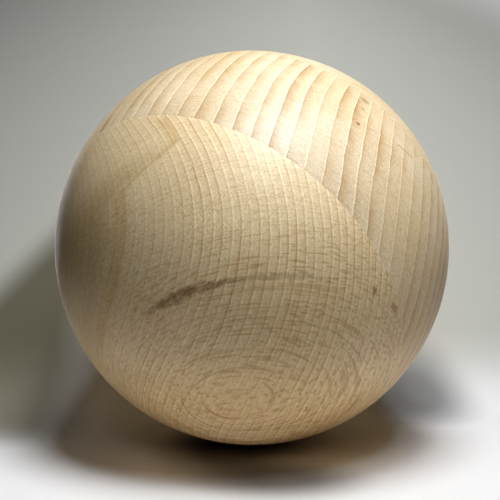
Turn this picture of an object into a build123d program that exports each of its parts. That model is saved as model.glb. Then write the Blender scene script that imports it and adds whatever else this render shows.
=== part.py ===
from build123d import *
import os
from math import cos, radians, sin, sqrt

os.makedirs("parts", exist_ok=True)

# A solid beech ball, turned from a block of three boards glued face to face.
# Millimetres, +Z up, origin at the centre of the ball, which lies as it rests on a table:
# -Y is the side that faces the viewer, and +X is the viewer's right.

# The turned ball, and where the two glue faces pass through it
ball_diameter = 120.0
middle_board_thickness = 40.0
front_glue_face = 20.0

# The glue axis is square to both glue faces and points out through the front board.
# It is turned from -Y towards -X, and then dipped below the horizontal, in degrees.
glue_heading = 35.6
glue_dip = 35.5

ball_radius = ball_diameter / 2
rear_glue_face = front_glue_face - middle_board_thickness

heading = radians(glue_heading)
dip = radians(glue_dip)
glue_direction = Vector(-sin(heading) * cos(dip), -cos(heading) * cos(dip), -sin(dip))
glue_axis = Axis((0, 0, 0), glue_direction)
front_glue_plane = Plane(origin=glue_direction * front_glue_face, z_dir=glue_direction)
rear_glue_plane = Plane(origin=glue_direction * rear_glue_face, z_dir=glue_direction)

# The block is turned about an axis that lies in its middle board, level with the table
lathe_direction = Vector(-cos(heading), sin(heading), 0)
lathe_axis = Axis((0, 0, 0), lathe_direction)
lathe_plane = Plane(origin=(0, 0, 0), x_dir=lathe_direction, z_dir=glue_direction)

# The middle board's section is drawn with x along the lathe axis and y up the glue axis
section_plane = Plane(
    origin=(0, 0, 0),
    x_dir=lathe_direction,
    z_dir=lathe_direction.cross(glue_direction),
)


def on_ball(height):
    """The point of the ball's outline that lies this far up the glue axis."""
    return (sqrt(ball_radius**2 - height**2), height)


# The whole ball as it comes off the lathe: half a disc carried round the lathe axis
with BuildPart() as turned_ball:
    with BuildSketch(lathe_plane):
        with BuildLine():
            ThreePointArc((-ball_radius, 0), (0, ball_radius), (ball_radius, 0))
            Line((ball_radius, 0), (-ball_radius, 0))
        make_face()
    revolve(axis=lathe_axis)

# The front board is the cap towards the viewer, from its glue face out to the ball's skin
with BuildPart() as front_board:
    add(turned_ball.part)
    split(bisect_by=front_glue_plane, keep=Keep.TOP)

# The middle board is the slice between the two glue faces: its section is flat on both glue
# faces and follows the ball's outline between them
with BuildPart() as middle_board:
    with BuildSketch(section_plane):
        with BuildLine():
            Line((0, rear_glue_face), on_ball(rear_glue_face))
            ThreePointArc(
                on_ball(rear_glue_face),
                on_ball((rear_glue_face + front_glue_face) / 2),
                on_ball(front_glue_face),
            )
            Line(on_ball(front_glue_face), (0, front_glue_face))
            Line((0, front_glue_face), (0, rear_glue_face))
        make_face()
    revolve(axis=glue_axis)

# The rear board is the cap on the far side, which shows as a thin crescent at the upper right
with BuildPart() as rear_board:
    add(turned_ball.part)
    split(bisect_by=rear_glue_plane, keep=Keep.BOTTOM)

front_board.part.label = "front_board"
middle_board.part.label = "middle_board"
rear_board.part.label = "rear_board"

export_step(front_board.part, "parts/front_board.step")
export_step(middle_board.part, "parts/middle_board.step")
export_step(rear_board.part, "parts/rear_board.step")
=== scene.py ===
import math

import bpy
import numpy as np
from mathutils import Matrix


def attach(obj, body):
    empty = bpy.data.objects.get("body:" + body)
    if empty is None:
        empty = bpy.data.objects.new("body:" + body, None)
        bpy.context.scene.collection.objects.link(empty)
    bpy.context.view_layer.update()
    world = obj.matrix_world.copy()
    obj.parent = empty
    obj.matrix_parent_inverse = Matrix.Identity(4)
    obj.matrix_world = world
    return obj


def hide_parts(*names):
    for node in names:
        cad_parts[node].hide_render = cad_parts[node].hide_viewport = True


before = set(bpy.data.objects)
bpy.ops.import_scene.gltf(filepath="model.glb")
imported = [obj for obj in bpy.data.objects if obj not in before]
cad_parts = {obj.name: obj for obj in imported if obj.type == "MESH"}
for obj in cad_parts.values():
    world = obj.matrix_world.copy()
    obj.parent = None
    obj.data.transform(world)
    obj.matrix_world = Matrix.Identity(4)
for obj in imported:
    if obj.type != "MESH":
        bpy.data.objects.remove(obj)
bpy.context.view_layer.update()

# A solid beech ball, turned from a block of three boards glued face to face.
# Metres, +Z up, origin at the centre of the ball. -Y faces the viewer, +X is the viewer's right.

# The ball, and the two glue faces along the glue axis
BALL_RADIUS = 0.060
FRONT_GLUE_FACE = 0.020
REAR_GLUE_FACE = -0.020

# The glue axis is square to both glue faces: turned from -Y towards -X, then dipped
GLUE_HEADING = math.radians(35.6)
GLUE_DIP = math.radians(35.5)

# Skin grid of each board
COLUMNS = 420
SKIN_ROWS = 190
FACE_ROWS = 14
SMOOTH_UNDER = math.radians(30)

# Relief of the sanded skin. The waves are counted in turns of the angle over one ball radius
# towards +X, +Y and +Z: the first two are multiplied and the third is added.
SEAM_GROOVE_DEPTH = 0.00003
SEAM_GROOVE_WIDTH = 0.00025
HAND_SANDING_DEPTH = 0.00006
HAND_SANDING_WAVES = ((5.1, 2.3, 0.0), (-1.7, 0.0, 4.3), (0.0, 3.7, 2.9))

# Camera: level with the ball's centre, four radii away
CAMERA_DISTANCE = 0.240
CAMERA_ASIDE = -0.00057
CAMERA_BELOW = -0.00063
LENS = 55.04
SENSOR = 36.0
NEAREST_SEEN = 0.01
FARTHEST_SEEN = 10

# Paper floor, and the paper wall that leans back from a rounded fold behind the ball
FOLD_BEHIND = 0.0336
FOLD_TURN = math.radians(8.0)
FOLD_RADIUS = 0.040
FOLD_ROWS = 40
FOLD_SINK = 0.00005
WALL_LEAN = math.radians(34.0)
PAPER_REACH = 1.6

TO_RIGHT = (1.0, 0.0, 0.0)
TO_BACK = (0.0, 1.0, 0.0)
UPWARDS = (0.0, 0.0, 1.0)
BLACK = (0, 0, 0, 1)
WHITE = (1, 1, 1, 1)


def unit(x, y, z):
    """The direction x, y, z at length one."""
    v = np.array([x, y, z], float)
    return v / np.linalg.norm(v)


glue_axis = unit(
    -math.sin(GLUE_HEADING) * math.cos(GLUE_DIP),
    -math.cos(GLUE_HEADING) * math.cos(GLUE_DIP),
    -math.sin(GLUE_DIP),
)
glue_level = unit(-math.cos(GLUE_HEADING), math.sin(GLUE_HEADING), 0.0)
glue_across = np.cross(glue_axis, glue_level)


# Surfaces of the boards


def skin_relief(place, height):
    """How far the skin stands off the true ball, for points on it and their heights up the
    glue axis. Two slow waves left by hand sanding, less a hairline groove at each glue face
    whose depth falls off as a bell curve of the distance from that face."""
    first, second, third = np.sin(place / BALL_RADIUS @ np.array(HAND_SANDING_WAVES).T).T
    waves = first * second + third
    groove = np.exp(-(((height - FRONT_GLUE_FACE) / SEAM_GROOVE_WIDTH) ** 2))
    groove += np.exp(-(((height - REAR_GLUE_FACE) / SEAM_GROOVE_WIDTH) ** 2))
    return HAND_SANDING_DEPTH * (waves / 2 - 1) - SEAM_GROOVE_DEPTH * groove


def closed_surface(name, rows, corners_uv):
    """A closed surface from rows of points round the glue axis. The first and last row are
    single points, the rows between hold one point for each column, and each cell joins two
    rows and two columns. corners_uv(row, column, cell) gives the map place of corners at those
    rows and columns, for cells that start at that column."""
    first, rings, last = rows
    ring_count, columns = rings.shape[:2]
    points = np.concatenate([first[None], rings.reshape(-1, 3), last[None]])
    column = np.arange(columns)
    after = (column + 1) % columns
    start = 1 + np.arange(ring_count) * columns
    low, high = start[:-1, None], start[1:, None]
    cells = np.stack([low + column, low + after, high + after, high + column], -1)
    bottom = np.stack([np.zeros_like(column), 1 + after, 1 + column], -1)
    top = start[-1] + np.stack([column, after, np.full_like(column, columns)], -1)
    mesh = bpy.data.meshes.new(name)
    faces = bottom.tolist() + cells.reshape(-1, 4).tolist() + top.tolist()
    mesh.from_pydata(points.tolist(), [], faces)

    # The same corners by row and column, in the same order. The single points are row 0 and the
    # row past the rings, and lie half way between their cell's two columns.
    row, turn = np.meshgrid(1 + np.arange(ring_count - 1), column, indexing="ij")
    none = np.zeros_like(column)
    end = none + ring_count + 1
    corner_rows = (
        np.stack([none, none + 1, none + 1], -1),
        np.stack([row, row, row + 1, row + 1], -1),
        np.stack([end - 1, end - 1, end], -1),
    )
    corner_columns = (
        np.stack([column + 0.5, column + 1, column], -1),
        np.stack([turn, turn + 1, turn + 1, turn], -1),
        np.stack([column, column + 1, column + 0.5], -1),
    )
    cell_columns = (column[:, None], turn[..., None], column[:, None])
    uv = [
        corners_uv(*corners).reshape(-1, 2)
        for corners in zip(corner_rows, corner_columns, cell_columns)
    ]
    layer = mesh.uv_layers.new(name="OFBake")
    layer.data.foreach_set("uv", np.concatenate(uv).astype(np.float32).ravel())
    mesh.shade_smooth()
    mesh.set_sharp_from_angle(angle=SMOOTH_UNDER)
    mesh.update()
    piece = bpy.data.objects.new(name, mesh)
    bpy.context.collection.objects.link(piece)
    return piece


def board(name, low_height, high_height):
    """One board of the turned block, between two heights up the glue axis. Its section is a
    line from the axis out along the low glue face, the ball's arc up to the high one, and a
    line back to the axis; a height equal to the ball's radius has no face, and the arc runs on
    to the axis. The section is carried round the glue axis, and the relief moves the arc's
    points along the ball's own radius."""
    has_low = low_height > -BALL_RADIUS
    has_high = high_height < BALL_RADIUS
    low_angle, high_angle = np.arccos(np.array([low_height, high_height]) / BALL_RADIUS)
    share = np.linspace(0, 1, SKIN_ROWS)
    angle = low_angle + (high_angle - low_angle) * share
    edge = np.linspace(0, 1, FACE_ROWS)
    radius = BALL_RADIUS * np.sin(angle)
    height = BALL_RADIUS * np.cos(angle)
    on_skin = np.ones_like(radius)
    if has_low:
        radius = np.concatenate([edge[:-1] * radius[0], radius])
        height = np.concatenate([np.full(FACE_ROWS - 1, height[0]), height])
        on_skin = np.concatenate([np.zeros(FACE_ROWS - 1), on_skin])
    if has_high:
        radius = np.concatenate([radius, edge[-2::-1] * radius[-1]])
        height = np.concatenate([height, np.full(FACE_ROWS - 1, height[-1])])
        on_skin = np.concatenate([on_skin, np.zeros(FACE_ROWS - 1)])

    turn = np.arange(COLUMNS) / COLUMNS * 2 * np.pi
    spoke = np.cos(turn)[:, None] * glue_level + np.sin(turn)[:, None] * glue_across
    place = radius[:, None, None] * spoke + height[:, None, None] * glue_axis
    outward = place / np.linalg.norm(place, axis=-1, keepdims=True)
    tall = np.broadcast_to(height[:, None], place.shape[:2])
    relief = skin_relief(place.reshape(-1, 3), tall.ravel()).reshape(tall.shape)
    place = place + outward * (relief * on_skin[:, None])[..., None]
    rows = (place[0, 0], place[1:-1], place[-1, 0])

    skin_start = FACE_ROWS - 1 if has_low else 0
    skin_end = len(radius) - FACE_ROWS if has_high else len(radius) - 1
    to_map = strip_map if has_low and has_high else cap_map

    def corners_uv(row, column, cell):
        return to_map(row, column, cell, radius, height, skin_start, skin_end)

    return closed_surface(name, rows, corners_uv)


# Maps for the colours: the skin gets nearly all of the square, the hidden glue faces little
MAP_MARGIN = 0.006
FACE_DISC = 0.078
STRIPS = 3


def disc_place(centre, reach, column):
    """Points round a centre, at that reach and at the angle of the column."""
    turn = column / COLUMNS * 2 * np.pi
    return np.stack([centre[0] + reach * np.cos(turn), centre[1] + reach * np.sin(turn)], -1)


def cap_map(row, column, cell, radius, height, skin_start, skin_end):
    """The cap's skin as an equal-area disc that fills the square, where the reach is the root
    of the height below the pole. Its glue face is a small disc in a corner."""
    depth = np.abs(np.abs(height) - BALL_RADIUS)
    reach = np.sqrt(depth / depth[skin_start : skin_end + 1].max()) * (0.5 - MAP_MARGIN)
    skin = disc_place((0.5, 0.5), reach[row], column)
    small = FACE_DISC * radius / radius.max()
    corner = MAP_MARGIN + FACE_DISC
    face = disc_place((corner, corner), small[row], column)
    on_face = (row.max(-1) > skin_end) | (row.min(-1) < skin_start)
    return np.where(on_face[..., None, None], face, skin)


def strip_map(row, column, cell, radius, height, skin_start, skin_end):
    """The middle board's skin as equal-area strips, one above the other, each the same part of
    the way round. Its two glue faces are small discs above them."""
    strip_columns = COLUMNS // STRIPS
    strip = cell // strip_columns
    tall = (1 - 2 * FACE_DISC - (STRIPS + 2) * MAP_MARGIN) / STRIPS - MAP_MARGIN
    across = MAP_MARGIN + (column - strip * strip_columns) / strip_columns * (1 - 2 * MAP_MARGIN)
    low, high = height[skin_start], height[skin_end]
    up = MAP_MARGIN + strip * (tall + MAP_MARGIN) + (height[row] - low) / (high - low) * tall
    skin = np.stack(np.broadcast_arrays(across, up), -1)
    small = FACE_DISC * radius / radius.max()
    level = 1 - MAP_MARGIN - FACE_DISC
    low_face = disc_place((MAP_MARGIN + FACE_DISC, level), small[row], column)
    high_face = disc_place((0.5, level), small[row], column)
    on_low = (row.min(-1) < skin_start)[..., None, None]
    on_high = (row.max(-1) > skin_end)[..., None, None]
    return np.where(on_low, low_face, np.where(on_high, high_face, skin))


front_board = board("front_board_wood", FRONT_GLUE_FACE, BALL_RADIUS)
middle_board = board("middle_board_wood", REAR_GLUE_FACE, FRONT_GLUE_FACE)
rear_board = board("rear_board_wood", -BALL_RADIUS, REAR_GLUE_FACE)

for piece, node in (
    (front_board, "front_board"),
    (middle_board, "middle_board"),
    (rear_board, "rear_board"),
):
    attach(piece, "root")
    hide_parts(node)


# Beech, made of node groups

# Sockets of the Mix node for colours: its amount, its two colours and its result
MIX_AMOUNT = 0
MIX_FIRST = 6
MIX_SECOND = 7
MIX_RESULT = 2


class Wires:
    """A node tree, with short calls that each add one node and give back its output."""

    def __init__(self, tree):
        self.tree = tree

    def node(self, kind, **settings):
        made = self.tree.nodes.new(kind)
        for name, value in settings.items():
            setattr(made, name, value)
        return made

    def feed(self, socket, value):
        if isinstance(value, bpy.types.NodeSocket):
            self.tree.links.new(value, socket)
        else:
            socket.default_value = value

    def math(self, operation, a, b=0.0, c=0.0):
        made = self.node("ShaderNodeMath", operation=operation)
        for socket, value in zip(made.inputs, (a, b, c)):
            self.feed(socket, value)
        return made.outputs[0]

    def product(self, *values):
        total = values[0]
        for value in values[1:]:
            total = self.math("MULTIPLY", total, value)
        return total

    def vector(self, operation, a, b=(0.0, 0.0, 0.0)):
        made = self.node("ShaderNodeVectorMath", operation=operation)
        self.feed(made.inputs[0], a)
        self.feed(made.inputs[1], b)
        gives_number = operation in ("DOT_PRODUCT", "LENGTH", "DISTANCE")
        return made.outputs["Value" if gives_number else "Vector"]

    def scaled(self, vector, by):
        made = self.node("ShaderNodeVectorMath", operation="SCALE")
        self.feed(made.inputs[0], vector)
        self.feed(made.inputs["Scale"], by)
        return made.outputs["Vector"]

    def combine(self, x, y, z):
        made = self.node("ShaderNodeCombineXYZ")
        for socket, value in zip(made.inputs, (x, y, z)):
            self.feed(socket, value)
        return made.outputs[0]

    def noise(self, vector, detail=2.0, roughness=0.5, scale=1.0):
        made = self.node("ShaderNodeTexNoise", noise_dimensions="3D")
        self.feed(made.inputs["Vector"], vector)
        self.feed(made.inputs["Scale"], scale)
        self.feed(made.inputs["Detail"], detail)
        self.feed(made.inputs["Roughness"], roughness)
        return made.outputs["Fac"]

    def centred_noise(self, vector, **settings):
        """Noise that goes from -0.5 to 0.5."""
        return self.math("SUBTRACT", self.noise(vector, **settings), 0.5)

    def rise(self, value, start, end, low=0.0, high=1.0):
        """Eased from low to high as the value goes from start to end."""
        made = self.node("ShaderNodeMapRange", interpolation_type="SMOOTHSTEP")
        for name, given in (
            ("Value", value),
            ("From Min", start),
            ("From Max", end),
            ("To Min", low),
            ("To Max", high),
        ):
            self.feed(made.inputs[name], given)
        return made.outputs["Result"]

    def tint(self, amount, colour, by, blend="MULTIPLY"):
        made = self.node("ShaderNodeMix", data_type="RGBA", blend_type=blend)
        self.feed(made.inputs[MIX_AMOUNT], amount)
        self.feed(made.inputs[MIX_FIRST], colour)
        self.feed(made.inputs[MIX_SECOND], by)
        return made.outputs[MIX_RESULT]

    def group(self, tree, **values):
        made = self.node("ShaderNodeGroup", node_tree=tree)
        for name, value in values.items():
            self.feed(made.inputs[name.replace("_", " ")], value)
        return made.outputs


def new_group(name, inputs, outputs):
    """An empty node group with these named inputs and outputs. V: in front marks a vector."""
    tree = bpy.data.node_groups.new(name, "ShaderNodeTree")
    for names, way in ((inputs, "INPUT"), (outputs, "OUTPUT")):
        for given_name in names:
            kind = "NodeSocketVector" if given_name.startswith("V:") else "NodeSocketFloat"
            plain_name = given_name.removeprefix("V:")
            tree.interface.new_socket(name=plain_name, in_out=way, socket_type=kind)
    wires = Wires(tree)
    given = wires.node("NodeGroupInput").outputs
    result = wires.node("NodeGroupOutput").inputs
    return tree, wires, given, result


def stretched(w, given, fineness):
    """The place in the board, shifted by the seed, with each of its measures multiplied by how
    fine a pattern is across the rings, across the rays and along the fibre."""
    across_rings, across_rays, along_fibre = fineness
    return w.combine(
        w.math("MULTIPLY_ADD", given["Ring"], across_rings, given["Seed"]),
        w.math("MULTIPLY", given["Ray"], across_rays),
        w.math("MULTIPLY", given["Fibre"], along_fibre),
    )


# Keeps Step off nought, so that the rays stay of one width where they lie flat
STEP_SOFTENING = 0.008


def make_board_lines():
    """Where a point lies in its board, in ball radii. Ring is its place across the growth rings
    and Ray its place across the rays: each is a straight measure plus a quadratic, because
    rings and rays are bowed. Fibre is its place along the fibre. Step is the root of how far Ray
    is from where rays lie flat in the skin, so its levels are evenly spaced on the skin."""
    tree, w, given, result = new_group(
        "board_lines",
        ("V:Position", "V:Across Rings", "V:Across Rays", "V:Along Fibre")
        + ("V:Ring Bow", "V:Ring Skew", "V:Ray Bow", "V:Ray Skew", "Ray Pole", "Ray Side"),
        ("Ring", "Ray", "Fibre", "Step"),
    )
    place = w.scaled(given["Position"], 1 / BALL_RADIUS)
    x = w.vector("DOT_PRODUCT", place, given["Across Rings"])
    y = w.vector("DOT_PRODUCT", place, given["Across Rays"])
    z = w.vector("DOT_PRODUCT", place, given["Along Fibre"])
    bows = w.vector("MULTIPLY", w.combine(y, z, y), w.combine(y, z, z))
    skews = w.vector("MULTIPLY", w.combine(x, x, x), w.combine(y, z, x))
    bowed = {}
    for name, straight in (("Ring", x), ("Ray", y)):
        bow = w.vector("DOT_PRODUCT", bows, given[name + " Bow"])
        skew = w.vector("DOT_PRODUCT", skews, given[name + " Skew"])
        bowed[name] = w.math("ADD", straight, w.math("ADD", bow, skew))
        w.feed(result[name], bowed[name])
    from_pole = w.math("SUBTRACT", bowed["Ray"], given["Ray Pole"])
    from_pole = w.math("MAXIMUM", w.math("MULTIPLY", from_pole, given["Ray Side"]), 0.0)
    w.feed(result["Step"], w.math("SQRT", w.math("ADD", from_pole, STEP_SOFTENING)))
    w.feed(result["Fibre"], z)
    return tree


# Growth rings: how fine the slow wave, the wander and the patches are
RING_WAVE_FINENESS = (3.0, 2.2, 1.0)
RING_WANDER_FINENESS = (8.0, 9.0, 6.0)
RING_PATCH_FINENESS = (5.0, 7.0, 5.0)
RING_PATCH_EDGES = (0.36, 0.64)

# The share of the late wood and of the line that comes and goes in patches, and what always
# stays; then the same from one year to the next, also for the pale line
LATE_IN_PATCHES = (0.6, 0.4)
LATE_BY_YEAR = (0.6, 0.5)
LINE_IN_PATCHES = (0.45, 0.55)
LINE_BY_YEAR = (0.55, 0.45)
PALE_BY_YEAR = (0.5, 0.55)

# How much sooner a strong year's late wood starts, as a share of the ring
LATE_SOONER = 0.25

# The line starts and is full these many of its widths before the ring's outer edge, and the pale
# line is full up to this share of its width, past a soft edge
LINE_STARTS = 2.0
LINE_FULL = 0.6
PALE_FULL = 0.4
PALE_EDGE = 0.02

# What is left of the rings where they are quiet, faint and far off
QUIET_LEFT = 0.35
FAINT_LEFT = 0.35
FAR_LEFT = 0.10


def make_growth_rings():
    """Year rings. The count of rings is a cubic of the place across them, with a slow wave and
    a fine wander along each. Late wood darkens towards the ring's outer edge, where it stops
    sharply in a dark line; a pale line of early wood follows. Each ring has its own strength,
    the lines come and go along it, and all are quiet where the rays lie flat in the skin and
    faint past two places across the rings, one on either side."""
    tree, w, given, result = new_group(
        "growth_rings",
        ("Ring", "Ray", "Fibre", "Count", "Rate", "Rate Change", "Rate Curve", "Outward", "Wave")
        + ("Wander", "Late Start", "Line Width", "Pale Width", "Quiet From", "Quiet To")
        + ("Faint From", "Faint To", "Far From", "Far To", "Seed"),
        ("Late", "Line", "Pale"),
    )
    across = given["Ring"]
    rate = w.math("MULTIPLY_ADD", across, given["Rate Curve"], given["Rate Change"])
    rate = w.math("MULTIPLY_ADD", across, rate, given["Rate"])
    count = w.math("MULTIPLY_ADD", across, rate, given["Count"])
    slow = w.centred_noise(stretched(w, given, RING_WAVE_FINENESS), detail=1.0)
    count = w.math("MULTIPLY_ADD", slow, given["Wave"], count)
    fine = w.centred_noise(stretched(w, given, RING_WANDER_FINENESS), detail=3.0)
    count = w.math("MULTIPLY_ADD", fine, given["Wander"], count)
    count = w.math("MULTIPLY", count, given["Outward"])
    year = w.math("FLOOR", count)
    share = w.math("SUBTRACT", count, year)
    chance = w.node("ShaderNodeTexWhiteNoise", noise_dimensions="1D")
    w.feed(chance.inputs["W"], w.math("ADD", year, given["Seed"]))
    own = chance.outputs["Value"]
    patch = w.rise(w.noise(stretched(w, given, RING_PATCH_FINENESS), detail=3.0), *RING_PATCH_EDGES)

    late = w.rise(share, w.math("MULTIPLY_ADD", own, -LATE_SOONER, given["Late Start"]), 1.0)
    late = w.math("MULTIPLY", late, w.math("MULTIPLY_ADD", patch, *LATE_IN_PATCHES))
    late = w.math("MULTIPLY", late, w.math("MULTIPLY_ADD", own, *LATE_BY_YEAR))
    line_start = w.math("MULTIPLY_ADD", given["Line Width"], -LINE_STARTS, 1.0)
    line_full = w.math("MULTIPLY_ADD", given["Line Width"], -LINE_FULL, 1.0)
    line = w.rise(share, line_start, line_full)
    line = w.math("MULTIPLY", line, w.math("MULTIPLY_ADD", patch, *LINE_IN_PATCHES))
    line = w.math("MULTIPLY", line, w.math("MULTIPLY_ADD", own, *LINE_BY_YEAR))
    pale_width = given["Pale Width"]
    pale = w.rise(share, pale_width, w.math("MULTIPLY", pale_width, PALE_FULL))
    pale = w.math("MULTIPLY", pale, w.rise(share, 0.0, PALE_EDGE))
    pale = w.math("MULTIPLY", pale, w.math("MULTIPLY_ADD", own, *PALE_BY_YEAR))
    quiet = w.product(
        w.rise(given["Ray"], given["Quiet To"], given["Quiet From"], QUIET_LEFT, 1.0),
        w.rise(given["Ring"], given["Faint To"], given["Faint From"], FAINT_LEFT, 1.0),
        w.rise(given["Ring"], given["Far To"], given["Far From"], FAR_LEFT, 1.0),
    )
    w.feed(result["Late"], w.math("MULTIPLY", late, quiet))
    w.feed(result["Line"], w.math("MULTIPLY", line, quiet))
    w.feed(result["Pale"], w.math("MULTIPLY", pale, quiet))
    return tree


# Rays: the noise level of the crests when Share is nought, how much Share lowers it, how soft
# the crests' edges are, and the patches in which they come and go
RAY_CREST = 0.72
RAY_CREST_DROP = 0.5
RAY_CREST_EDGE = 0.12
RAY_PATCH_FINENESS = (4.0, 9.0, 5.0)
RAY_PATCH_EDGES = (0.35, 0.65)


def make_ray_flecks():
    """Rays: thin sheets that stand along the fibre and run across the rings. They are the
    crests of a noise that is drawn out by the sheets' length and height and pressed together
    by their spacing. Share is how much of the wood they take, and they come and go in patches."""
    tree, w, given, result = new_group(
        "ray_flecks",
        ("Ring", "Ray", "Fibre", "Step", "Length", "Spacing", "Height", "Share", "Patchy", "Seed"),
        ("Fleck",),
    )
    place = w.combine(
        w.math("ADD", w.math("DIVIDE", given["Ring"], given["Length"]), given["Seed"]),
        w.math("DIVIDE", given["Step"], given["Spacing"]),
        w.math("DIVIDE", given["Fibre"], given["Height"]),
    )
    sheets = w.noise(place, detail=0.0)
    start = w.math("MULTIPLY_ADD", given["Share"], -RAY_CREST_DROP, RAY_CREST)
    sheet = w.rise(sheets, start, w.math("ADD", start, RAY_CREST_EDGE))
    patch = w.rise(w.noise(stretched(w, given, RAY_PATCH_FINENESS), detail=2.0), *RAY_PATCH_EDGES)
    patch = w.math("SUBTRACT", 1.0, w.product(given["Patchy"], w.math("SUBTRACT", 1.0, patch)))
    w.feed(result["Fleck"], w.math("MULTIPLY", sheet, patch))
    return tree


# Fibre: how fine each pattern is, the noise's detail and roughness, and its rise from low to high
FIBRE_PATTERNS = {
    "Speckle": ((250.0, 250.0, 60.0), 1.0, 0.7, (0.28, 0.72)),
    "Streak": ((60.0, 60.0, 9.0), 2.0, 0.6, (0.32, 0.70)),
    "Pore": ((210.0, 210.0, 50.0), 0.0, 0.5, (0.66, 0.76)),
    "Cloud": ((2.6, 2.6, 1.6), 3.0, 0.55, (0.3, 0.7)),
}


def make_wood_fibre():
    """Fibre and pores: a fine speckle and fine streaks drawn out along the fibre, tiny dark
    pores, and slow clouds of tone."""
    tree, w, given, result = new_group(
        "wood_fibre",
        ("Ring", "Ray", "Fibre", "Seed"),
        tuple(FIBRE_PATTERNS),
    )
    for name, (fineness, detail, roughness, edges) in FIBRE_PATTERNS.items():
        pattern = w.noise(stretched(w, given, fineness), detail=detail, roughness=roughness)
        w.feed(result[name], w.rise(pattern, *edges))
    return tree


# Sanding lines: how much of the measure along each line's direction is taken away, so that the
# noise is drawn out, how fine it is, its crests, and the patches in which the lines show
SCRATCH_SQUEEZE = 0.96
SCRATCH_FINENESS = 190.0
SCRATCH_CREST = (0.58, 0.70)
SCRATCH_PATCH_FINENESS = 3.2
SCRATCH_PATCH_EDGES = (0.38, 0.60)
SCRATCH_WAYS = {"First Way": (0.64, -0.385, -0.71), "Second Way": (0.60, 0.05, 0.79)}


def make_sanding_marks():
    """Hair-fine sanding lines in two slanting directions: noise drawn far out along each line's
    direction, cut off so that only its crests stay, and faded in and out in patches."""
    tree, w, given, result = new_group(
        "sanding_marks",
        ("V:Position", "V:First Way", "V:Second Way", "Seed"),
        ("Scratch",),
    )
    place = w.scaled(given["Position"], 1 / BALL_RADIUS)
    place = w.vector("ADD", place, w.combine(given["Seed"], 0.0, 0.0))
    crests = []
    for way in SCRATCH_WAYS:
        along = w.vector("DOT_PRODUCT", place, given[way])
        run = w.scaled(given[way], w.math("MULTIPLY", along, -SCRATCH_SQUEEZE))
        lines = w.noise(w.vector("ADD", place, run), detail=0.0, scale=SCRATCH_FINENESS)
        crests.append(w.rise(lines, *SCRATCH_CREST))
    patch = w.noise(place, detail=2.0, scale=SCRATCH_PATCH_FINENESS)
    patch = w.rise(patch, *SCRATCH_PATCH_EDGES)
    w.feed(result["Scratch"], w.math("MULTIPLY", w.math("MAXIMUM", *crests), patch))
    return tree


board_lines = make_board_lines()
growth_rings = make_growth_rings()
ray_flecks = make_ray_flecks()
wood_fibre = make_wood_fibre()
sanding_marks = make_sanding_marks()

# What a full mark leaves of the wood's colour
SPECKLE_DARK = (0.89, 0.86, 0.82, 1)
SPECKLE_PALE = (1.06, 1.06, 1.06, 1)
STREAK_DARK = (0.95, 0.93, 0.90, 1)
PORE_DARK = (0.84, 0.78, 0.70, 1)
RAY_DARK = (0.70, 0.56, 0.38, 1)
SCRATCH_DARK = (0.91, 0.87, 0.81, 1)

# Roughness of the sanded wood, how much the fibre changes it to either side, and how much
# smoother the rays are
WOOD_ROUGHNESS = 0.50
ROUGHNESS_SPREAD = 0.03
RAY_SMOOTHER = 0.10
WOOD_SHEEN = 0.60

# Fine relief: its depth, and the share of it by which each mark stands up, or sinks below nought
RELIEF_DEPTH = 0.00005
RELIEF_LEVEL = 0.5
LINE_STANDS = 0.25
SPECKLE_STANDS = 0.10
PORE_STANDS = -0.25
RAY_STANDS = -0.18
SCRATCH_STANDS = -0.35

# Rays by size: length across the rings, spacing, height along the fibre, share of the wood
# and how patchy. The first show as long fine lines, the second as short dashes.
RAY_SIZES = (
    (0.50, 0.0046, 0.260, 0.25, 0.60),
    (0.075, 0.0042, 0.024, 0.33, 0.35),
)

# The long ones show only near where the rays lie flat, and the short ones pale further off
LONG_RAYS_FROM = 0.24
LONG_RAYS_TO = 0.36
SHORT_RAYS_FROM = 0.27
SHORT_RAYS_TO = 0.44
SHORT_RAYS_LEFT = 0.42


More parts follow.
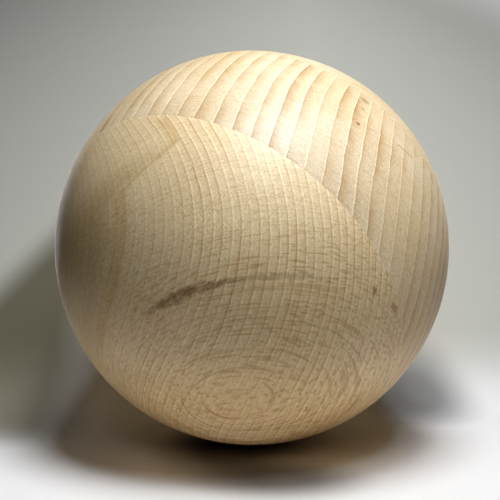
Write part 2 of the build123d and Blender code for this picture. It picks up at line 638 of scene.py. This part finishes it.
def beech_board(name, tones, lines, rings, ray_strength, seed, marks=None):
    """Beech for one board: tones are its pale and its tan wood and what the late wood, the dark
    line and the pale line leave of them, lines the values for board_lines and rings those for
    growth_rings. ray_strength is for the long and the short rays. marks(wires, place, position,
    colour) adds what only this board has."""
    pale_wood, tan_wood, late_tint, line_tint, early_tint = tones
    long_strength, short_strength = ray_strength
    material = bpy.data.materials.new(name)
    material.use_nodes = True
    w = Wires(material.node_tree)
    shader = material.node_tree.nodes["Principled BSDF"]
    position = w.node("ShaderNodeTexCoord").outputs["Object"]
    at = w.group(board_lines, Position=position, **lines)
    place = {"Ring": at["Ring"], "Ray": at["Ray"], "Fibre": at["Fibre"]}
    year = w.group(growth_rings, **place, Seed=seed, **rings)
    fibre = w.group(wood_fibre, **place, Seed=seed)
    flecks = []
    for number, (length, spacing, height, share, patchy) in enumerate(RAY_SIZES):
        sheets = w.group(
            ray_flecks,
            **place,
            Step=at["Step"],
            Length=length,
            Spacing=spacing,
            Height=height,
            Share=share,
            Patchy=patchy,
            Seed=seed + number,
        )
        flecks.append(sheets["Fleck"])
    short_left = SHORT_RAYS_LEFT * short_strength
    near = w.rise(at["Step"], LONG_RAYS_TO, LONG_RAYS_FROM, 0.0, long_strength)
    far = w.rise(at["Step"], SHORT_RAYS_FROM, SHORT_RAYS_TO, short_strength, short_left)
    rays = w.math("MULTIPLY", flecks[0], near)
    rays = w.math("MAXIMUM", rays, w.math("MULTIPLY", flecks[1], far))
    scratch = w.group(
        sanding_marks,
        Position=position,
        First_Way=tuple(unit(*SCRATCH_WAYS["First Way"])),
        Second_Way=tuple(unit(*SCRATCH_WAYS["Second Way"])),
        Seed=seed,
    )

    colour = w.tint(fibre["Cloud"], pale_wood, tan_wood, blend="MIX")
    for amount, left in (
        (year["Late"], late_tint),
        (year["Line"], line_tint),
        (year["Pale"], early_tint),
        (1.0, w.tint(fibre["Speckle"], SPECKLE_DARK, SPECKLE_PALE, blend="MIX")),
        (fibre["Streak"], STREAK_DARK),
        (fibre["Pore"], PORE_DARK),
        (rays, RAY_DARK),
        (scratch["Scratch"], SCRATCH_DARK),
    ):
        colour = w.tint(amount, colour, left)
    if marks:
        colour = marks(w, place, position, colour)
    w.feed(shader.inputs["Base Color"], colour)

    smoothest = WOOD_ROUGHNESS - ROUGHNESS_SPREAD
    rough = w.math("MULTIPLY_ADD", fibre["Streak"], 2 * ROUGHNESS_SPREAD, smoothest)
    rough = w.math("MULTIPLY_ADD", rays, -RAY_SMOOTHER, rough)
    w.feed(shader.inputs["Roughness"], rough)
    w.feed(shader.inputs["Specular IOR Level"], WOOD_SHEEN)

    height = RELIEF_LEVEL
    for mark, stands in (
        (year["Line"], LINE_STANDS),
        (fibre["Speckle"], SPECKLE_STANDS),
        (fibre["Pore"], PORE_STANDS),
        (rays, RAY_STANDS),
        (scratch["Scratch"], SCRATCH_STANDS),
    ):
        height = w.math("MULTIPLY_ADD", mark, stands, height)
    relief = w.node("ShaderNodeBump")
    relief.inputs["Strength"].default_value = 1.0
    relief.inputs["Distance"].default_value = RELIEF_DEPTH
    w.feed(relief.inputs["Height"], height)
    w.feed(shader.inputs["Normal"], relief.outputs["Normal"])
    return material


# Marks that only the front board has. Places are across the rings, across the rays and along
# the fibre, in ball radii, and a pair or a four is a rise: from, to and then low and high.
MARKED_SIDE = (0.12, 0.28)
FRONT_BLUR_FINENESS = (14.0, 30.0, 10.0)
FRONT_SEED = 5.0

# The mineral streak: its ray, its half width and strength along the rings, and its smoky body,
# which widens it where the smoke is thick
STREAK_RAY = -0.936
STREAK_TINT = (0.27, 0.17, 0.05, 1)
STREAK_WIDENS = (-0.66, -0.58, 0.002, 0.0095)
STREAK_NARROWS = (-0.55, -0.46, 0.0095, 0.0050)
STREAK_STARTS = (-0.655, -0.60)
STREAK_FADES = (-0.53, -0.42, 1.0, 0.42)
STREAK_ENDS = (-0.30, -0.08, 1.0, 0.0)
STREAK_CORE = 0.25
STREAK_RAY_BLUR = 0.010
RING_BLUR = 0.10
SMOKE_FINENESS = (60.0, 110.0, 30.0)
SMOKE = (0.36, 0.60, 0.50, 1.0)
SMOKE_WIDENS = 0.004
SMOKE_NARROWS = 0.003

# The dot and the short streak: place across the rings and the rays, half sizes the same two
# ways, and how strong. Their edges are in half sizes.
FRONT_SPOTS = (
    (0.056, -0.929, 0.018, 0.0056, 0.95),
    (0.198, -0.930, 0.030, 0.0038, 0.85),
)
FRONT_SPOT_EDGES = (1.2, 0.4)
DOT_TINT = (0.52, 0.36, 0.20, 1)

# The stain: the place across the rings that it follows as it goes across the rays, the blur of
# both, its edges on either side, where it starts and how strong it is
STAIN_TINT = (0.80, 0.68, 0.50, 1)
STAIN_LINE = (-0.55, -0.68, -0.565, -0.715)
STAIN_RAY_BLUR = 0.03
STAIN_RING_BLUR = 0.014
STAIN_FAR_EDGE = (-0.030, 0.0)
STAIN_NEAR_EDGE = (0.018, 0.0)
STAIN_STARTS = (-0.36, -0.46)
STAIN_STRENGTH = 0.7

# Darker olive beyond the stain, and lighter on this side of it
OLIVE_TINT = (0.80, 0.76, 0.66, 1)
OLIVE_EDGE = (0.0, -0.05)
OLIVE_RAYS = (-0.50, -0.66)
PALE_TINT = (1.16, 1.18, 1.20, 1)
PALE_RAYS = (-0.940, -0.800)
PALE_RINGS = (-0.66, -0.46)


def front_marks(w, place, position, colour):
    """A dark mineral streak along one ray, with a dot and a short streak further on it, and a
    brown stain that follows a ring and steps across to another, darker and olive beyond it and
    lighter on this side of it, towards the glue face."""
    given = {**place, "Seed": FRONT_SEED}
    blur_place = stretched(w, given, FRONT_BLUR_FINENESS)
    blur = w.centred_noise(blur_place, detail=4.0, roughness=0.65)
    ring, ray, fibre = place["Ring"], place["Ray"], place["Fibre"]
    this_side = w.rise(fibre, *MARKED_SIDE)
    blurred_ring = w.math("MULTIPLY_ADD", blur, RING_BLUR, ring)

    smoke = w.noise(stretched(w, given, SMOKE_FINENESS), detail=3.0, roughness=0.7)
    smoke = w.rise(smoke, *SMOKE)
    off = w.math("MULTIPLY_ADD", blur, STREAK_RAY_BLUR, -STREAK_RAY)
    off = w.math("ABSOLUTE", w.math("ADD", ray, off))
    off = w.math("MULTIPLY_ADD", smoke, -SMOKE_WIDENS, w.math("ADD", off, SMOKE_NARROWS))
    width = w.rise(blurred_ring, *STREAK_WIDENS)
    width = w.math("MINIMUM", width, w.rise(blurred_ring, *STREAK_NARROWS))
    body = w.rise(off, width, w.math("MULTIPLY", width, STREAK_CORE))
    strength = w.product(
        w.rise(blurred_ring, *STREAK_STARTS),
        w.rise(blurred_ring, *STREAK_FADES),
        w.rise(blurred_ring, *STREAK_ENDS),
    )
    colour = w.tint(w.product(body, strength, smoke, this_side), colour, STREAK_TINT)

    for spot_ring, spot_ray, ring_half, ray_half, amount in FRONT_SPOTS:
        off_ray = w.math("SUBTRACT", ray, spot_ray)
        off_ray = w.math("ADD", off_ray, w.math("MULTIPLY", blur, STREAK_RAY_BLUR))
        off = w.combine(
            w.math("DIVIDE", w.math("SUBTRACT", blurred_ring, spot_ring), ring_half),
            w.math("DIVIDE", off_ray, ray_half),
            0.0,
        )
        spot = w.rise(w.vector("LENGTH", off), *FRONT_SPOT_EDGES)
        colour = w.tint(w.product(spot, this_side, amount), colour, DOT_TINT)

    line = w.rise(w.math("MULTIPLY_ADD", blur, STAIN_RAY_BLUR, ray), *STAIN_LINE)
    beside = w.math("SUBTRACT", w.math("MULTIPLY_ADD", blur, STAIN_RING_BLUR, ring), line)
    stain = w.math("MULTIPLY", w.rise(beside, *STAIN_FAR_EDGE), w.rise(beside, *STAIN_NEAR_EDGE))
    starts = w.rise(ray, *STAIN_STARTS)
    colour = w.tint(w.product(stain, starts, this_side, STAIN_STRENGTH), colour, STAIN_TINT)
    olive = w.math("MULTIPLY", w.rise(beside, *OLIVE_EDGE), w.rise(ray, *OLIVE_RAYS))
    colour = w.tint(w.product(olive, this_side), colour, OLIVE_TINT)
    pale = w.math("MULTIPLY", w.rise(ray, *PALE_RAYS), w.rise(ring, *PALE_RINGS))
    colour = w.tint(w.product(pale, this_side), colour, PALE_TINT)
    return colour


# Marks that only the middle board has: place, reach across and how strong, in ball radii. Their
# edges are in reaches.
MIDDLE_SPOTS = (
    ((0.457, -0.712, 0.533), 0.012, 0.95),
    ((0.492, -0.616, 0.615), 0.012, 0.5),
    ((0.512, -0.545, 0.664), 0.028, 0.55),
)
MIDDLE_SPOT_EDGES = (1.2, 0.3)
MIDDLE_SPOT_ROUGH = 0.5
MIDDLE_ROUGH_FINENESS = (40.0, 40.0, 20.0)
MIDDLE_SEED = 9.0
SPOT_TINT = (0.35, 0.26, 0.17, 1)

# The hairline crack: its ends in ball radii, and its edges and how rough they are in metres
CRACK_START = (0.648, -0.609, 0.457)
CRACK_END = (0.720, -0.564, 0.404)
CRACK_EDGES = (0.00030, 0.00008)
CRACK_ROUGH = 0.00012
CRACK_STRENGTH = 0.8


def middle_marks(w, place, position, colour):
    """A dark speck with two fainter smudges above it, and a hairline crack."""
    given = {**place, "Seed": MIDDLE_SEED}
    rough = w.centred_noise(stretched(w, given, MIDDLE_ROUGH_FINENESS), detail=3.0)
    outer, inner = MIDDLE_SPOT_EDGES
    for centre, reach, amount in MIDDLE_SPOTS:
        reach = reach * BALL_RADIUS
        away = w.vector("DISTANCE", position, tuple(np.array(centre) * BALL_RADIUS))
        away = w.math("MULTIPLY_ADD", rough, MIDDLE_SPOT_ROUGH * reach, away)
        spot = w.rise(away, outer * reach, inner * reach)
        colour = w.tint(w.math("MULTIPLY", spot, amount), colour, SPOT_TINT)

    # The nearest point of the crack is that share of the way along it, held between its ends
    start = np.array(CRACK_START) * BALL_RADIUS
    way = np.array(CRACK_END) * BALL_RADIUS - start
    from_start = w.vector("SUBTRACT", position, tuple(start))
    share = w.node("ShaderNodeClamp")
    w.feed(share.inputs["Value"], w.vector("DOT_PRODUCT", from_start, tuple(way / (way @ way))))
    nearest = w.scaled(tuple(way), share.outputs[0])
    away = w.vector("DISTANCE", from_start, nearest)
    away = w.math("MULTIPLY_ADD", rough, CRACK_ROUGH, away)
    crack = w.rise(away, *CRACK_EDGES)
    colour = w.tint(w.math("MULTIPLY", crack, CRACK_STRENGTH), colour, SPOT_TINT)
    return colour


# Rings that are never quiet, faint or far off have those places outside the ball
NEVER_QUIET = dict(Quiet_From=-8.0, Quiet_To=-9.0)
NEVER_FAINT = dict(Faint_From=-8.0, Faint_To=-9.0)
NEVER_FAR = dict(Far_From=8.0, Far_To=9.0)

front_tones = (
    (0.80, 0.630, 0.375, 1),
    (0.745, 0.560, 0.320, 1),
    (0.92, 0.87, 0.79, 1),
    (0.78, 0.65, 0.48, 1),
    (1.13, 1.19, 1.27, 1),
)
front_lines = dict(
    Across_Rings=(0.985, 0.008, 0.170),
    Across_Rays=(-0.134, 0.657, 0.742),
    Along_Fibre=(-0.106, -0.754, 0.648),
    Ring_Bow=(-0.138, -0.349, 0.329),
    Ring_Skew=(0.256, -0.180, 0.0),
    Ray_Bow=(0.0, -0.384, 0.043),
    Ray_Skew=(-0.041, -0.002, -0.421),
    Ray_Pole=-1.012,
    Ray_Side=1.0,
)
front_rings = dict(
    Count=31.25,
    Rate=27.6,
    Rate_Change=2.0,
    Rate_Curve=22.0,
    Outward=1.0,
    Wave=0.7,
    Wander=0.30,
    Late_Start=0.60,
    Line_Width=0.12,
    Pale_Width=0.30,
    Quiet_From=-0.995,
    Quiet_To=-1.010,
    Faint_From=-0.50,
    Faint_To=-0.74,
    Far_From=0.50,
    Far_To=0.66,
)
middle_tones = (
    (0.80, 0.655, 0.438, 1),
    (0.75, 0.575, 0.338, 1),
    (0.72, 0.58, 0.41, 1),
    (0.84, 0.73, 0.58, 1),
    (1.16, 1.24, 1.36, 1),
)
middle_lines = dict(
    Across_Rings=(0.923, -0.123, -0.365),
    Across_Rays=(0.311, 0.796, 0.519),
    Along_Fibre=(0.227, -0.592, 0.773),
    Ring_Bow=(0.136, 0.264, -0.004),
    Ring_Skew=(0.202, -0.120, 0.0),
    Ray_Bow=(0.0, -0.20, 0.0),
    Ray_Skew=(0.0, 0.0, -0.20),
    Ray_Pole=-1.3,
    Ray_Side=1.0,
)
middle_rings = dict(
    Count=6.57,
    Rate=12.52,
    Rate_Change=3.24,
    Rate_Curve=5.49,
    Outward=-1.0,
    Wave=0.3,
    Wander=0.22,
    Late_Start=0.42,
    Line_Width=0.06,
    Pale_Width=0.13,
    **NEVER_QUIET,
    **NEVER_FAINT,
    Far_From=0.985,
    Far_To=1.020,
)
rear_across = unit(0.341, -0.841, -0.421)
rear_fibre = unit(-0.048, -0.463, 0.885)
rear_lines = dict(
    Across_Rings=tuple(rear_across),
    Across_Rays=tuple(np.cross(rear_fibre, rear_across)),
    Along_Fibre=tuple(rear_fibre),
    Ring_Bow=(-0.16, -0.10, 0.05),
    Ring_Skew=(0.08, 0.05, 0.0),
    Ray_Bow=(0.0, -0.10, 0.0),
    Ray_Skew=(0.0, 0.0, -0.10),
    Ray_Pole=1.0,
    Ray_Side=-1.0,
)
rear_rings = dict(
    Count=0.3,
    Rate=20.0,
    Rate_Change=3.0,
    Rate_Curve=1.0,
    Outward=-1.0,
    Wave=0.5,
    Wander=0.25,
    Late_Start=0.60,
    Line_Width=0.12,
    Pale_Width=0.20,
    **NEVER_QUIET,
    **NEVER_FAINT,
    **NEVER_FAR,
)

# How strong the long and the short rays are, and the seed of each board's patterns
FRONT_RAYS = (1.0, 0.85)
MIDDLE_RAYS = (0.0, 0.5)
REAR_RAYS = (0.8, 0.6)
FRONT_BOARD_SEED = 3.0
MIDDLE_BOARD_SEED = 17.0
REAR_BOARD_SEED = 29.0

front_wood = (front_tones, front_lines, front_rings, FRONT_RAYS, FRONT_BOARD_SEED, front_marks)
middle_wood = (middle_tones, middle_lines, middle_rings, MIDDLE_RAYS, MIDDLE_BOARD_SEED, middle_marks)
rear_wood = (middle_tones, rear_lines, rear_rings, REAR_RAYS, REAR_BOARD_SEED)
front_board.data.materials.append(beech_board("front_beech", *front_wood))
middle_board.data.materials.append(beech_board("middle_beech", *middle_wood))
rear_board.data.materials.append(beech_board("rear_beech", *rear_wood))


# Stage

# The floor's colour, and the wall's, with painted light whose level is highest at one place aside
# and falls off to both sides of it, and with the place by a slope for each direction, but not below
# the least
FLOOR_COLOUR = (0.97, 0.915, 0.83)
WALL_COLOUR = (0.97, 0.92, 0.755)
WALL_LIGHT_LEVEL = 0.635
WALL_LEAST_LIGHT = 0.19
WALL_LIGHT_PLACE = 0.030
WALL_LIGHT_FALL_ASIDE = 1.0
WALL_LIGHT_FALL = (0.32, 0.0, -1.85)

# The height at which the wall's colour starts to turn into the floor's
WALL_FOOT = -0.030

# Painted shadow of the ball at the far left: its edges aside, in front, behind and above, where it
# slants
PAINTED_SHADOW_TINT = (0.28, 0.26, 0.20)
SHADE_ASIDE = (-0.050, -0.074)
SHADE_FRONT = (-0.016, 0.016)
SHADE_BEHIND = (0.130, 0.090)
SHADE_SLANT = (-1.2, 0.0, 1.0)
SHADE_ABOVE = (0.1125, 0.0870)

# Painted shadows on the paper by the ball: centre, half sizes and how dark. Their edges are in half
# sizes.
PAINTED_SHADOW_SPOTS = (
    ((-0.007, -0.014, -0.060), (0.0275, 0.041, 0.030), 0.83),
    ((0.007, -0.041, -0.060), (0.029, 0.023, 0.030), 0.66),
    ((0.061, 0.041, -0.051), (0.028, 0.029, 0.040), 0.71),
)
PAINTED_SHADOW_EDGES = (1.0, 0.2)

# Far off, both papers fade into the plain background
BACKGROUND_LEVEL = 0.55
FADE_START = 0.235
FADE_END = 0.300

# The white sheet under the ball throws light back up at it only from near by
BOUNCE_COLOUR = (0.95, 0.86, 0.68)
BOUNCE_REACH = 0.090
BOUNCE_EDGE = 0.010


def sheet_of_paper(name, points, cells, material):
    """A sheet of flat cells between those points."""
    mesh = bpy.data.meshes.new(name)
    mesh.from_pydata([tuple(map(float, p)) for p in points], [], cells)
    mesh.shade_smooth()
    mesh.materials.append(material)
    sheet = bpy.data.objects.new(name, mesh)
    bpy.context.collection.objects.link(sheet)
    return sheet


def faded_paper(w, place, seen, paper):
    """The paper's shader, which fades into the plain background for the camera far from the
    ball."""
    far = w.rise(w.vector("LENGTH", place), FADE_START, FADE_END)
    glow = w.node("ShaderNodeEmission")
    glow.inputs["Color"].default_value = WHITE
    glow.inputs["Strength"].default_value = BACKGROUND_LEVEL
    either = w.node("ShaderNodeMixShader")
    w.feed(either.inputs[0], w.math("MULTIPLY", far, seen))
    w.feed(either.inputs[1], paper)
    w.feed(either.inputs[2], glow.outputs[0])
    return either.outputs[0]


def paper_with_painted_shade(w, place, colour):
    """The paper's colour with painted shade: a painted shadow low down at the far left, and painted
    shadows in a few soft round places by the ball's foot."""
    aside = w.vector("DOT_PRODUCT", place, TO_RIGHT)
    back = w.vector("DOT_PRODUCT", place, TO_BACK)
    slant = w.vector("DOT_PRODUCT", place, SHADE_SLANT)
    # painted shadow of the ball, low down at the far left
    shade = w.product(
        w.rise(aside, *SHADE_ASIDE),
        w.rise(back, *SHADE_FRONT),
        w.rise(back, *SHADE_BEHIND),
        w.rise(slant, *SHADE_ABOVE),
    )
    colour = w.tint(shade, colour, (*PAINTED_SHADOW_TINT, 1))
    # painted shadows: soft dark round places on the paper by the ball
    for centre, halves, amount in PAINTED_SHADOW_SPOTS:
        off = w.vector("DIVIDE", w.vector("SUBTRACT", place, centre), halves)
        spot = w.rise(w.vector("LENGTH", off), *PAINTED_SHADOW_EDGES)
        colour = w.tint(w.math("MULTIPLY", spot, amount), colour, BLACK)
    return colour


def new_paper(name):
    """An empty material, its wires, and the place on the paper."""
    material = bpy.data.materials.new(name)
    material.use_nodes = True
    material.node_tree.nodes.clear()
    w = Wires(material.node_tree)
    return material, w, w.node("ShaderNodeTexCoord").outputs["Object"]


def floor_paper():
    """Pale paper to the camera, with painted shadows by the ball. To other rays it is white near the
    ball and black further off.
    """
    material, w, place = new_paper("floor_paper")
    reach = w.vector("LENGTH", w.vector("MULTIPLY", place, (1.0, 1.0, 0.0)))
    near = w.rise(reach, BOUNCE_REACH + BOUNCE_EDGE, BOUNCE_REACH - BOUNCE_EDGE)
    bounce = w.tint(near, BLACK, (*BOUNCE_COLOUR, 1), blend="MIX")
    rays = w.node("ShaderNodeLightPath").outputs
    seen = w.math("MAXIMUM", rays["Is Camera Ray"], rays["Is Glossy Ray"])
    shaded = paper_with_painted_shade(w, place, (*FLOOR_COLOUR, 1))
    paper = w.node("ShaderNodeBsdfDiffuse")
    w.feed(paper.inputs["Color"], w.tint(seen, bounce, shaded, blend="MIX"))
    out = w.node("ShaderNodeOutputMaterial")
    faded = faded_paper(w, place, rays["Is Camera Ray"], paper.outputs[0])
    w.feed(out.inputs["Surface"], faded)
    return material


def wall_paper():
    """Grey paper from the front, with painted light that falls off evenly upwards and to both sides,
    and a painted shadow at the lower left. From behind it is clear, so that the ball's far side is
    seen."""
    material, w, place = new_paper("wall_paper")
    right = w.vector("DOT_PRODUCT", place, TO_RIGHT)
    height = w.vector("DOT_PRODUCT", place, UPWARDS)
    aside = w.math("ABSOLUTE", w.math("SUBTRACT", right, WALL_LIGHT_PLACE))
    # painted light: the wall's grey is brightest at one place and darker away from it
    level = w.math("ADD", w.vector("DOT_PRODUCT", place, WALL_LIGHT_FALL), WALL_LIGHT_LEVEL)
    level = w.math("MULTIPLY_ADD", aside, -WALL_LIGHT_FALL_ASIDE, level)
    level = w.math("MAXIMUM", level, WALL_LEAST_LIGHT)
    grey = w.tint(level, BLACK, (*WALL_COLOUR, 1), blend="MIX")
    foot = w.rise(height, WALL_FOOT, -BALL_RADIUS)
    grey = w.tint(foot, grey, (*FLOOR_COLOUR, 1), blend="MIX")
    paper = w.node("ShaderNodeBsdfDiffuse")
    w.feed(paper.inputs["Color"], paper_with_painted_shade(w, place, grey))
    seen = w.node("ShaderNodeLightPath").outputs["Is Camera Ray"]
    front = faded_paper(w, place, seen, paper.outputs[0])
    either = w.node("ShaderNodeMixShader")
    w.feed(either.inputs[0], w.node("ShaderNodeNewGeometry").outputs["Backfacing"])
    w.feed(either.inputs[1], front)
    w.feed(either.inputs[2], w.node("ShaderNodeBsdfTransparent").outputs[0])
    out = w.node("ShaderNodeOutputMaterial")
    w.feed(out.inputs["Surface"], either.outputs[0])
    return material


fold_along = np.array([math.cos(FOLD_TURN), math.sin(FOLD_TURN), 0.0])
fold_back = np.array([-math.sin(FOLD_TURN), math.cos(FOLD_TURN), 0.0])
fold_up = np.array(UPWARDS)
fold_middle = np.array([0.0, FOLD_BEHIND, -BALL_RADIUS])

# The fold turns from level to the wall's slope. It starts one tangent's length before the line
# where floor and wall would meet, a hair below the floor.
fold_angle = math.pi / 2 - WALL_LEAN
fold_tangent = FOLD_RADIUS * math.tan(fold_angle / 2)
fold_start = fold_middle - fold_back * fold_tangent - fold_up * FOLD_SINK
fold_turns = np.linspace(0, fold_angle, FOLD_ROWS)[:, None]
fold_curve = np.sin(fold_turns) * fold_back + (1 - np.cos(fold_turns)) * fold_up
profile = fold_start + FOLD_RADIUS * fold_curve
wall_slope = math.sin(WALL_LEAN) * fold_back + math.cos(WALL_LEAN) * fold_up
profile = np.concatenate([profile, [profile[-1] + PAPER_REACH * wall_slope]])
to_side = fold_along * PAPER_REACH
wall_points = np.concatenate([profile - to_side, profile + to_side])
wall_rows = len(profile)
wall_cells = [(k, wall_rows + k, wall_rows + k + 1, k + 1) for k in range(wall_rows - 1)]
wall = sheet_of_paper("paper_wall", wall_points, wall_cells, wall_paper())
wall.visible_shadow = False
wall.visible_diffuse = False
wall.visible_glossy = False

floor_corners = [(-1, -1, 0), (1, -1, 0), (1, 1, 0), (-1, 1, 0)]
floor_points = np.array(floor_corners) * PAPER_REACH - fold_up * BALL_RADIUS
floor = sheet_of_paper("paper_floor", floor_points, [(0, 1, 2, 3)], floor_paper())

# Lights: name, azimuth from the camera towards +X, elevation, distance, width, level, colour and
# what they light. Level is how bright a white surface is that faces the box, where 1 is white.
COOL = (0.93, 1.0, 1.13)
MILD = (0.95, 1.0, 1.07)
PLAIN = (1.0, 1.0, 1.0)
WARM = (1.0, 0.93, 0.76)
SOFT_BOXES = (
    ("key_box", 28, 58, 0.30, 0.12, 0.64, MILD, "ball"),
    ("high_key_box", 30, 62, 0.38, 0.15, 0.38, COOL, "both"),
    ("front_box", 6, 52, 0.36, 0.14, 0.39, MILD, "ball"),
    ("right_box", 60, 45, 0.36, 0.14, 0.05, WARM, "ball"),
    ("back_left_box", 206, 8, 0.36, 0.20, 0.32, PLAIN, "ball"),
    ("back_right_box", 154, 8, 0.36, 0.20, 0.18, WARM, "ball"),
    ("paper_box", 20, 78, 0.45, 0.18, 0.85, COOL, "paper"),
    ("low_paper_box", -10, 40, 0.45, 0.18, 0.04, COOL, "paper"),
)
AIR_LEVEL = 0.01

# White cards that lie round the ball and light it from below: name, place, width and power
CARDS = (
    ("front_card", (-0.010, -0.056, -0.0595), 0.07, 0.0028),
    ("left_card", (-0.060, -0.050, -0.0595), 0.06, 0.0031),
    ("right_card", (0.060, -0.050, -0.0595), 0.06, 0.0036),
)
FACING_UP = (math.pi, 0, 0)

# Flags in front of the lights keep each one off what it does not light
lit_pieces = {"ball": (front_board, middle_board, rear_board), "paper": (wall, floor)}
lit_collections = {}
for lit, pieces in lit_pieces.items():
    lit_collections[lit] = bpy.data.collections.new("lit_" + lit)
    for piece in pieces:
        lit_collections[lit].objects.link(piece)


def lamp(name, width, power, colour, lit):
    """A round soft box of that width and power, which shines along its own -Z."""
    light = bpy.data.lights.new(name, "AREA")
    light.shape = "DISK"
    light.size = width
    light.energy = power
    light.color = colour
    box = bpy.data.objects.new(name, light)
    bpy.context.collection.objects.link(box)
    box.visible_camera = False
    if lit in lit_collections:
        box.light_linking.receiver_collection = lit_collections[lit]
    return box


for name, azimuth, elevation, distance, width, light_level, colour, lit in SOFT_BOXES:
    box = lamp(name, width, light_level * (math.pi * distance) ** 2, colour, lit)
    turn, tilt = math.radians(azimuth), math.radians(elevation)
    away = unit(math.sin(turn) * math.cos(tilt), -math.cos(turn) * math.cos(tilt), math.sin(tilt))
    box.location = away * distance
    box.rotation_euler = (math.pi / 2 - tilt, 0, turn)

for name, card_place, width, power in CARDS:
    card = lamp(name, width, power, PLAIN, "ball")
    card.location = card_place
    card.rotation_euler = FACING_UP

# The air is dim on the ball and as bright as the background to the camera
world = bpy.data.worlds.new("studio_air")
bpy.context.scene.world = world
world.use_nodes = True
air = world.node_tree
seen = air.nodes.new("ShaderNodeLightPath")
level = air.nodes.new("ShaderNodeMapRange")
level.inputs["To Min"].default_value = AIR_LEVEL
level.inputs["To Max"].default_value = BACKGROUND_LEVEL
air.links.new(seen.outputs["Is Camera Ray"], level.inputs["Value"])
air.links.new(level.outputs["Result"], air.nodes["Background"].inputs["Strength"])
air.nodes["Background"].inputs["Color"].default_value = WHITE

camera_data = bpy.data.cameras.new("camera")
camera_data.lens = LENS
camera_data.sensor_width = SENSOR
camera_data.clip_start = NEAREST_SEEN
camera_data.clip_end = FARTHEST_SEEN
camera = bpy.data.objects.new("camera", camera_data)
bpy.context.collection.objects.link(camera)
camera.location = (CAMERA_ASIDE, -CAMERA_DISTANCE, CAMERA_BELOW)
camera.rotation_euler = (math.pi / 2, 0, 0)
bpy.context.scene.camera = camera
bpy.context.scene.view_settings.view_transform = "Standard"
